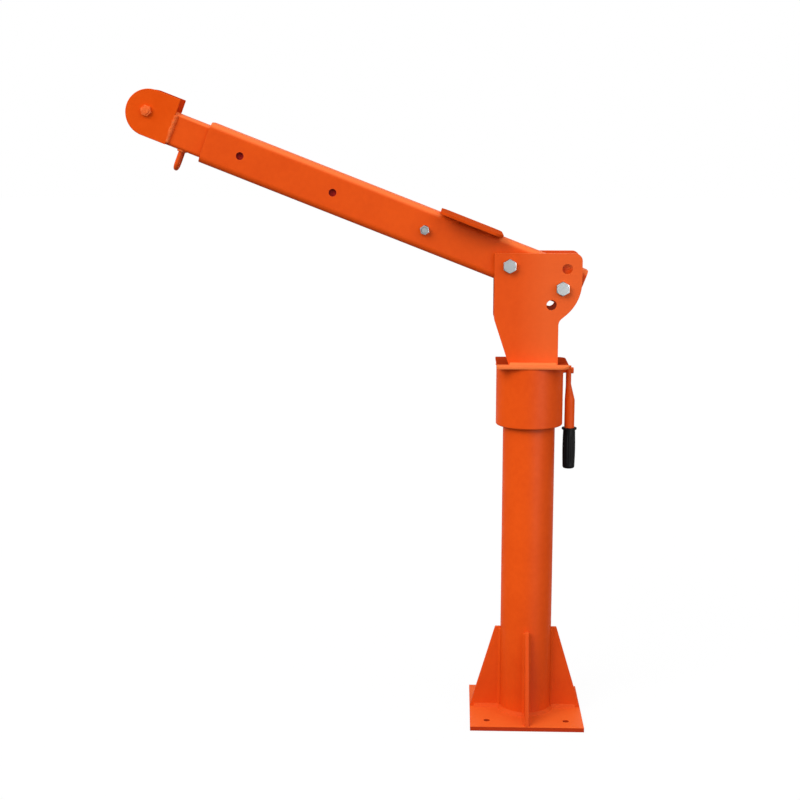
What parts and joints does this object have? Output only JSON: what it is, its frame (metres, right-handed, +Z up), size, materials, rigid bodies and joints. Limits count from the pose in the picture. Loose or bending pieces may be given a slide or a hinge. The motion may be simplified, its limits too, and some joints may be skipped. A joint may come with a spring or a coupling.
{
  "type": "truck-mounted swing crane",
  "caption": "Pedestal swing crane with a bolt-down base, slewing head, luffing telescopic box boom, winch plate, rope sheave and a hanging push handle.",
  "frame": {"origin": "centre of the base plate's underside, on the column axis", "axes": "+Z up along the column; the boom points to -X at rest; -Y is the side seen in the picture, with the handle on the +X side"},
  "size_m": [0.9916, 0.25, 1.3872],
  "materials": {
    "orange_paint": "orange powder coat, satin gloss",
    "zinc_steel": "bright zinc plate",
    "bare_steel": "turned steel, lightly oiled",
    "bearing_plastic": "machined nylon",
    "bush_bronze": "bearing bronze",
    "grip_rubber": "ribbed black rubber"
  },
  "bodies": {
    "base": {"base_plate": "orange_paint", "column": "orange_paint", "gusset_front": "orange_paint", "gusset_rear": "orange_paint", "gusset_left": "orange_paint", "gusset_right": "orange_paint", "column_cap": "orange_paint", "thrust_washer": "bearing_plastic"},
    "head": {"sleeve": "orange_paint", "sleeve_bush_lower": "bearing_plastic", "sleeve_bush_upper": "bearing_plastic", "swivel_plate": "orange_paint", "side_plate_near": "orange_paint", "side_plate_far": "orange_paint", "pivot_bolt": "zinc_steel", "pivot_washer": "zinc_steel", "pivot_nut": "zinc_steel", "lock_bolt": "zinc_steel", "lock_bolt_end": "zinc_steel", "lock_washer": "zinc_steel", "lock_nut": "zinc_steel", "handle_boss": "orange_paint", "handle_screw": "orange_paint"},
    "handle": {"handle_lever": "orange_paint", "handle_grip": "grip_rubber"},
    "boom": {"outer_boom": "orange_paint", "pivot_bush": "orange_paint", "lock_bush": "orange_paint", "winch_plate": "orange_paint", "extension_bolt": "zinc_steel", "extension_washer": "zinc_steel", "extension_nut": "zinc_steel", "boom_front_guide": "bearing_plastic"},
    "extension": {"inner_boom": "orange_paint", "boom_rear_guide": "bearing_plastic", "head_cheek_near": "orange_paint", "head_cheek_far": "orange_paint", "sheave_bolt": "orange_paint", "sheave_nut": "orange_paint", "sheave_spacers": "bare_steel", "eye_ring": "orange_paint"},
    "sheave": {"sheave": "bare_steel", "sheave_bush": "bush_bronze"}
  },
  "joints": [
    {"name": "slew", "type": "hinge", "parent": "base", "child": "head", "pos_m": [0, 0, 0.8], "axis": [0, 0, 1], "continuous": true},
    {"name": "boom_luff", "type": "hinge", "parent": "head", "child": "boom", "pos_m": [-0.048, 0, 1.0155], "axis": [0, 1, 0], "range_deg": [-20, 20]},
    {"name": "boom_extend", "type": "slide", "parent": "boom", "child": "extension", "axis": [-0.9317, 0, 0.3633], "range_m": [0, 0.423]},
    {"name": "sheave_spin", "type": "hinge", "parent": "extension", "child": "sheave", "pos_m": [-0.82152, 0, 1.34123], "axis": [0, 1, 0], "continuous": true},
    {"name": "handle_swing", "type": "hinge", "parent": "head", "child": "handle", "pos_m": [0.08, 0, 0.7845], "axis": [1, 0, 0], "range_deg": [-90, 90]}
  ]
}
